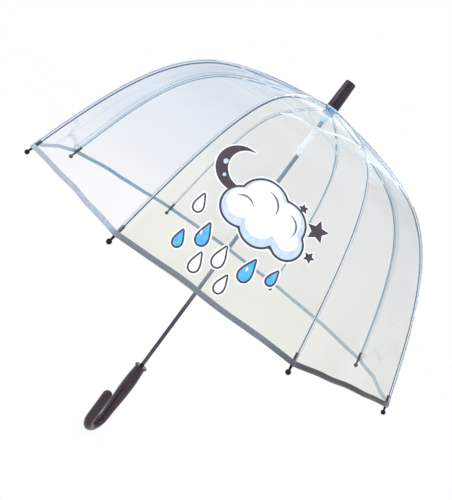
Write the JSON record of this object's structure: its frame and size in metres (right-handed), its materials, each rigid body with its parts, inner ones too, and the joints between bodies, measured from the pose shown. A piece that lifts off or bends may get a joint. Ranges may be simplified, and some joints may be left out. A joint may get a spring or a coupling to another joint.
{
  "type": "bubble umbrella",
  "caption": "Clear dome-shaped stick umbrella with a see-through film canopy on pale ribs, a sliding runner, dark ferrule and crook handle; it opens and closes.",
  "frame": {"origin": "on the shaft's axis, level with the bottom of the crook", "axes": "+Z along the shaft to the ferrule; the front panel of the canopy, the one with the print, faces -Y"},
  "size_m": [0.7756, 0.7756, 0.8432],
  "materials": {
    "dark_steel": "polished dark",
    "spring_steel": "satin",
    "aubergine": "semi-gloss",
    "clear_hub": "translucent",
    "white_plastic": "satin",
    "white_rod": "smooth",
    "black_plastic": "glossy",
    "clear_film": "clear",
    "frosted_film": "frosted"
  },
  "bodies": {
    "root": {"shaft_tube": "dark_steel", "crook_handle": "aubergine", "handle_collar": "aubergine", "ferrule": "aubergine", "crown_notch": "clear_hub", "crown_washer": "clear_hub"},
    "runner": {"runner": "white_plastic"},
    "top_catch": {"top_catch": "spring_steel"},
    "lower_catch": {"lower_catch": "spring_steel"},
    "rib_upper_1": {"rib_upper_1": "white_rod"},
    "rib_lower_1": {"rib_lower_1": "white_rod", "rib_tip_1": "black_plastic"},
    "stretcher_1": {"stretcher_1": "white_rod"},
    "canopy_upper_1": {"canopy_upper_1": "clear_film"},
    "canopy_lower_1": {"canopy_lower_1": "clear_film"},
    "rib_upper_2": {"rib_upper_2": "white_rod"},
    "rib_lower_2": {"rib_lower_2": "white_rod", "rib_tip_2": "black_plastic"},
    "stretcher_2": {"stretcher_2": "white_rod"},
    "canopy_upper_2": {"canopy_upper_2": "clear_film"},
    "canopy_lower_2": {"canopy_lower_2": "clear_film"},
    "rib_upper_3": {"rib_upper_3": "white_rod"},
    "rib_lower_3": {"rib_lower_3": "white_rod", "rib_tip_3": "black_plastic"},
    "stretcher_3": {"stretcher_3": "white_rod"},
    "canopy_upper_3": {"canopy_upper_3": "clear_film"},
    "canopy_lower_3": {"canopy_lower_3": "clear_film"},
    "rib_upper_4": {"rib_upper_4": "white_rod"},
    "rib_lower_4": {"rib_lower_4": "white_rod", "rib_tip_4": "black_plastic"},
    "stretcher_4": {"stretcher_4": "white_rod"},
    "canopy_upper_4": {"canopy_upper_4": "clear_film"},
    "canopy_lower_4": {"canopy_lower_4": "clear_film", "closing_strap": "frosted_film", "strap_stud": "frosted_film"},
    "rib_upper_5": {"rib_upper_5": "white_rod"},
    "rib_lower_5": {"rib_lower_5": "white_rod", "rib_tip_5": "black_plastic"},
    "stretcher_5": {"stretcher_5": "white_rod"},
    "canopy_upper_5": {"canopy_upper_5": "clear_film"},
    "canopy_lower_5": {"canopy_lower_5": "clear_film"},
    "rib_upper_6": {"rib_upper_6": "white_rod"},
    "rib_lower_6": {"rib_lower_6": "white_rod", "rib_tip_6": "black_plastic"},
    "stretcher_6": {"stretcher_6": "white_rod"},
    "canopy_upper_6": {"canopy_upper_6": "clear_film"},
    "canopy_lower_6": {"canopy_lower_6": "clear_film"},
    "rib_upper_7": {"rib_upper_7": "white_rod"},
    "rib_lower_7": {"rib_lower_7": "white_rod", "rib_tip_7": "black_plastic"},
    "stretcher_7": {"stretcher_7": "white_rod"},
    "canopy_upper_7": {"canopy_upper_7": "clear_film"},
    "canopy_lower_7": {"canopy_lower_7": "clear_film"},
    "rib_upper_8": {"rib_upper_8": "white_rod"},
    "rib_lower_8": {"rib_lower_8": "white_rod", "rib_tip_8": "black_plastic"},
    "stretcher_8": {"stretcher_8": "white_rod"},
    "canopy_upper_8": {"canopy_upper_8": "clear_film"},
    "canopy_lower_8": {"canopy_lower_8": "clear_film"}
  },
  "joints": [
    {"name": "runner_slide", "type": "slide", "parent": "root", "child": "runner", "axis": [0, 0, 1], "range_m": [-0.32522, 0]},
    {"name": "top_catch_press", "type": "slide", "parent": "root", "child": "top_catch", "axis": [0, -1, 0], "range_m": [0, 0.0016], "stiffness_N_per_m": 400},
    {"name": "lower_catch_press", "type": "slide", "parent": "root", "child": "lower_catch", "axis": [0, -1, 0], "range_m": [0, 0.0016], "stiffness_N_per_m": 400},
    {"name": "rib_hinge_1", "type": "hinge", "parent": "root", "child": "rib_upper_1", "pos_m": [0.00952, 0.00394, 0.77721], "axis": [-0.3827, 0.9239, 0], "range_deg": [0, 71.05]},
    {"name": "rib_flex_1", "type": "hinge", "parent": "rib_upper_1", "child": "rib_lower_1", "pos_m": [0.24086, 0.09977, 0.69456], "axis": [-0.3827, 0.9239, 0], "range_deg": [-44.02, 0]},
    {"name": "stretcher_hinge_1", "type": "hinge", "parent": "runner", "child": "stretcher_1", "pos_m": [0.00952, 0.00394, 0.73613], "axis": [-0.3827, 0.9239, 0], "range_deg": [-84.7, 0]},
    {"name": "canopy_hinge_1", "type": "hinge", "parent": "root", "child": "canopy_upper_1", "pos_m": [0.00817, 0.00817, 0.78093], "axis": [-0.7071, 0.7071, 0], "range_deg": [0, 68.84], "deforming": ["canopy_upper_1"]},
    {"name": "canopy_flex_1", "type": "hinge", "parent": "canopy_upper_1", "child": "canopy_lower_1", "pos_m": [0.17205, 0.17205, 0.69755], "axis": [-0.7071, 0.7071, 0], "range_deg": [-43.37, 0], "deforming": ["canopy_lower_1"]},
    {"name": "rib_hinge_2", "type": "hinge", "parent": "root", "child": "rib_upper_2", "pos_m": [0.00394, 0.00952, 0.77721], "axis": [-0.9239, 0.3827, 0], "range_deg": [0, 71.05]},
    {"name": "rib_flex_2", "type": "hinge", "parent": "rib_upper_2", "child": "rib_lower_2", "pos_m": [0.09977, 0.24086, 0.69456], "axis": [-0.9239, 0.3827, 0], "range_deg": [-44.02, 0]},
    {"name": "stretcher_hinge_2", "type": "hinge", "parent": "runner", "child": "stretcher_2", "pos_m": [0.00394, 0.00952, 0.73613], "axis": [-0.9239, 0.3827, 0], "range_deg": [-84.7, 0]},
    {"name": "canopy_hinge_2", "type": "hinge", "parent": "root", "child": "canopy_upper_2", "pos_m": [0, 0.01155, 0.78093], "axis": [-1, 0, 0], "range_deg": [0, 68.84], "deforming": ["canopy_upper_2"]},
    {"name": "canopy_flex_2", "type": "hinge", "parent": "canopy_upper_2", "child": "canopy_lower_2", "pos_m": [0, 0.24331, 0.69755], "axis": [-1, 0, 0], "range_deg": [-43.37, 0], "deforming": ["canopy_lower_2"]},
    {"name": "rib_hinge_3", "type": "hinge", "parent": "root", "child": "rib_upper_3", "pos_m": [-0.00394, 0.00952, 0.77721], "axis": [-0.9239, -0.3827, 0], "range_deg": [0, 71.05]},
    {"name": "rib_flex_3", "type": "hinge", "parent": "rib_upper_3", "child": "rib_lower_3", "pos_m": [-0.09977, 0.24086, 0.69456], "axis": [-0.9239, -0.3827, 0], "range_deg": [-44.02, 0]},
    {"name": "stretcher_hinge_3", "type": "hinge", "parent": "runner", "child": "stretcher_3", "pos_m": [-0.00394, 0.00952, 0.73613], "axis": [-0.9239, -0.3827, 0], "range_deg": [-84.7, 0]},
    {"name": "canopy_hinge_3", "type": "hinge", "parent": "root", "child": "canopy_upper_3", "pos_m": [-0.00817, 0.00817, 0.78093], "axis": [-0.7071, -0.7071, 0], "range_deg": [0, 68.84], "deforming": ["canopy_upper_3"]},
    {"name": "canopy_flex_3", "type": "hinge", "parent": "canopy_upper_3", "child": "canopy_lower_3", "pos_m": [-0.17205, 0.17205, 0.69755], "axis": [-0.7071, -0.7071, 0], "range_deg": [-43.37, 0], "deforming": ["canopy_lower_3"]},
    {"name": "rib_hinge_4", "type": "hinge", "parent": "root", "child": "rib_upper_4", "pos_m": [-0.00952, 0.00394, 0.77721], "axis": [-0.3827, -0.9239, 0], "range_deg": [0, 71.05]},
    {"name": "rib_flex_4", "type": "hinge", "parent": "rib_upper_4", "child": "rib_lower_4", "pos_m": [-0.24086, 0.09977, 0.69456], "axis": [-0.3827, -0.9239, 0], "range_deg": [-44.02, 0]},
    {"name": "stretcher_hinge_4", "type": "hinge", "parent": "runner", "child": "stretcher_4", "pos_m": [-0.00952, 0.00394, 0.73613], "axis": [-0.3827, -0.9239, 0], "range_deg": [-84.7, 0]},
    {"name": "canopy_hinge_4", "type": "hinge", "parent": "root", "child": "canopy_upper_4", "pos_m": [-0.01155, 0, 0.78093], "axis": [0, -1, 0], "range_deg": [0, 68.84], "deforming": ["canopy_upper_4"]},
    {"name": "canopy_flex_4", "type": "hinge", "parent": "canopy_upper_4", "child": "canopy_lower_4", "pos_m": [-0.24331, 0, 0.69755], "axis": [0, -1, 0], "range_deg": [-43.37, 0], "deforming": ["canopy_lower_4", "closing_strap", "strap_stud"]},
    {"name": "rib_hinge_5", "type": "hinge", "parent": "root", "child": "rib_upper_5", "pos_m": [-0.00952, -0.00394, 0.77721], "axis": [0.3827, -0.9239, 0], "range_deg": [0, 71.05]},
    {"name": "rib_flex_5", "type": "hinge", "parent": "rib_upper_5", "child": "rib_lower_5", "pos_m": [-0.24086, -0.09977, 0.69456], "axis": [0.3827, -0.9239, 0], "range_deg": [-44.02, 0]},
    {"name": "stretcher_hinge_5", "type": "hinge", "parent": "runner", "child": "stretcher_5", "pos_m": [-0.00952, -0.00394, 0.73613], "axis": [0.3827, -0.9239, 0], "range_deg": [-84.7, 0]},
    {"name": "canopy_hinge_5", "type": "hinge", "parent": "root", "child": "canopy_upper_5", "pos_m": [-0.00817, -0.00817, 0.78093], "axis": [0.7071, -0.7071, 0], "range_deg": [0, 68.84], "deforming": ["canopy_upper_5"]},
    {"name": "canopy_flex_5", "type": "hinge", "parent": "canopy_upper_5", "child": "canopy_lower_5", "pos_m": [-0.17205, -0.17205, 0.69755], "axis": [0.7071, -0.7071, 0], "range_deg": [-43.37, 0], "deforming": ["canopy_lower_5"]},
    {"name": "rib_hinge_6", "type": "hinge", "parent": "root", "child": "rib_upper_6", "pos_m": [-0.00394, -0.00952, 0.77721], "axis": [0.9239, -0.3827, 0], "range_deg": [0, 71.05]},
    {"name": "rib_flex_6", "type": "hinge", "parent": "rib_upper_6", "child": "rib_lower_6", "pos_m": [-0.09977, -0.24086, 0.69456], "axis": [0.9239, -0.3827, 0], "range_deg": [-44.02, 0]},
    {"name": "stretcher_hinge_6", "type": "hinge", "parent": "runner", "child": "stretcher_6", "pos_m": [-0.00394, -0.00952, 0.73613], "axis": [0.9239, -0.3827, 0], "range_deg": [-84.7, 0]},
    {"name": "canopy_hinge_6", "type": "hinge", "parent": "root", "child": "canopy_upper_6", "pos_m": [0, -0.01155, 0.78093], "axis": [1, 0, 0], "range_deg": [0, 68.84], "deforming": ["canopy_upper_6"]},
    {"name": "canopy_flex_6", "type": "hinge", "parent": "canopy_upper_6", "child": "canopy_lower_6", "pos_m": [0, -0.24331, 0.69755], "axis": [1, 0, 0], "range_deg": [-43.37, 0], "deforming": ["canopy_lower_6"]},
    {"name": "rib_hinge_7", "type": "hinge", "parent": "root", "child": "rib_upper_7", "pos_m": [0.00394, -0.00952, 0.77721], "axis": [0.9239, 0.3827, 0], "range_deg": [0, 71.05]},
    {"name": "rib_flex_7", "type": "hinge", "parent": "rib_upper_7", "child": "rib_lower_7", "pos_m": [0.09977, -0.24086, 0.69456], "axis": [0.9239, 0.3827, 0], "range_deg": [-44.02, 0]},
    {"name": "stretcher_hinge_7", "type": "hinge", "parent": "runner", "child": "stretcher_7", "pos_m": [0.00394, -0.00952, 0.73613], "axis": [0.9239, 0.3827, 0], "range_deg": [-84.7, 0]},
    {"name": "canopy_hinge_7", "type": "hinge", "parent": "root", "child": "canopy_upper_7", "pos_m": [0.00817, -0.00817, 0.78093], "axis": [0.7071, 0.7071, 0], "range_deg": [0, 68.84], "deforming": ["canopy_upper_7"]},
    {"name": "canopy_flex_7", "type": "hinge", "parent": "canopy_upper_7", "child": "canopy_lower_7", "pos_m": [0.17205, -0.17205, 0.69755], "axis": [0.7071, 0.7071, 0], "range_deg": [-43.37, 0], "deforming": ["canopy_lower_7"]},
    {"name": "rib_hinge_8", "type": "hinge", "parent": "root", "child": "rib_upper_8", "pos_m": [0.00952, -0.00394, 0.77721], "axis": [0.3827, 0.9239, 0], "range_deg": [0, 71.05]},
    {"name": "rib_flex_8", "type": "hinge", "parent": "rib_upper_8", "child": "rib_lower_8", "pos_m": [0.24086, -0.09977, 0.69456], "axis": [0.3827, 0.9239, 0], "range_deg": [-44.02, 0]},
    {"name": "stretcher_hinge_8", "type": "hinge", "parent": "runner", "child": "stretcher_8", "pos_m": [0.00952, -0.00394, 0.73613], "axis": [0.3827, 0.9239, 0], "range_deg": [-84.7, 0]},
    {"name": "canopy_hinge_8", "type": "hinge", "parent": "root", "child": "canopy_upper_8", "pos_m": [0.01155, 0, 0.78093], "axis": [0, 1, 0], "range_deg": [0, 68.84], "deforming": ["canopy_upper_8"]},
    {"name": "canopy_flex_8", "type": "hinge", "parent": "canopy_upper_8", "child": "canopy_lower_8", "pos_m": [0.24331, 0, 0.69755], "axis": [0, 1, 0], "range_deg": [-43.37, 0], "deforming": ["canopy_lower_8"]}
  ],
  "couplings": [
    {"joint": "rib_hinge_1", "follows": "runner_slide", "rad_per_m": -3.8123},
    {"joint": "rib_flex_1", "follows": "runner_slide", "rad_per_m": 2.3616},
    {"joint": "stretcher_hinge_1", "follows": "runner_slide", "rad_per_m": 4.5452},
    {"joint": "canopy_hinge_1", "follows": "runner_slide", "rad_per_m": -3.6938},
    {"joint": "canopy_flex_1", "follows": "runner_slide", "rad_per_m": 2.327},
    {"joint": "rib_hinge_2", "follows": "runner_slide", "rad_per_m": -3.8123},
    {"joint": "rib_flex_2", "follows": "runner_slide", "rad_per_m": 2.3616},
    {"joint": "stretcher_hinge_2", "follows": "runner_slide", "rad_per_m": 4.5452},
    {"joint": "canopy_hinge_2", "follows": "runner_slide", "rad_per_m": -3.6938},
    {"joint": "canopy_flex_2", "follows": "runner_slide", "rad_per_m": 2.327},
    {"joint": "rib_hinge_3", "follows": "runner_slide", "rad_per_m": -3.8123},
    {"joint": "rib_flex_3", "follows": "runner_slide", "rad_per_m": 2.3616},
    {"joint": "stretcher_hinge_3", "follows": "runner_slide", "rad_per_m": 4.5452},
    {"joint": "canopy_hinge_3", "follows": "runner_slide", "rad_per_m": -3.6938},
    {"joint": "canopy_flex_3", "follows": "runner_slide", "rad_per_m": 2.327},
    {"joint": "rib_hinge_4", "follows": "runner_slide", "rad_per_m": -3.8123},
    {"joint": "rib_flex_4", "follows": "runner_slide", "rad_per_m": 2.3616},
    {"joint": "stretcher_hinge_4", "follows": "runner_slide", "rad_per_m": 4.5452},
    {"joint": "canopy_hinge_4", "follows": "runner_slide", "rad_per_m": -3.6938},
    {"joint": "canopy_flex_4", "follows": "runner_slide", "rad_per_m": 2.327},
    {"joint": "rib_hinge_5", "follows": "runner_slide", "rad_per_m": -3.8123},
    {"joint": "rib_flex_5", "follows": "runner_slide", "rad_per_m": 2.3616},
    {"joint": "stretcher_hinge_5", "follows": "runner_slide", "rad_per_m": 4.5452},
    {"joint": "canopy_hinge_5", "follows": "runner_slide", "rad_per_m": -3.6938},
    {"joint": "canopy_flex_5", "follows": "runner_slide", "rad_per_m": 2.327},
    {"joint": "rib_hinge_6", "follows": "runner_slide", "rad_per_m": -3.8123},
    {"joint": "rib_flex_6", "follows": "runner_slide", "rad_per_m": 2.3616},
    {"joint": "stretcher_hinge_6", "follows": "runner_slide", "rad_per_m": 4.5452},
    {"joint": "canopy_hinge_6", "follows": "runner_slide", "rad_per_m": -3.6938},
    {"joint": "canopy_flex_6", "follows": "runner_slide", "rad_per_m": 2.327},
    {"joint": "rib_hinge_7", "follows": "runner_slide", "rad_per_m": -3.8123},
    {"joint": "rib_flex_7", "follows": "runner_slide", "rad_per_m": 2.3616},
    {"joint": "stretcher_hinge_7", "follows": "runner_slide", "rad_per_m": 4.5452},
    {"joint": "canopy_hinge_7", "follows": "runner_slide", "rad_per_m": -3.6938},
    {"joint": "canopy_flex_7", "follows": "runner_slide", "rad_per_m": 2.327},
    {"joint": "rib_hinge_8", "follows": "runner_slide", "rad_per_m": -3.8123},
    {"joint": "rib_flex_8", "follows": "runner_slide", "rad_per_m": 2.3616},
    {"joint": "stretcher_hinge_8", "follows": "runner_slide", "rad_per_m": 4.5452},
    {"joint": "canopy_hinge_8", "follows": "runner_slide", "rad_per_m": -3.6938},
    {"joint": "canopy_flex_8", "follows": "runner_slide", "rad_per_m": 2.327}
  ]
}
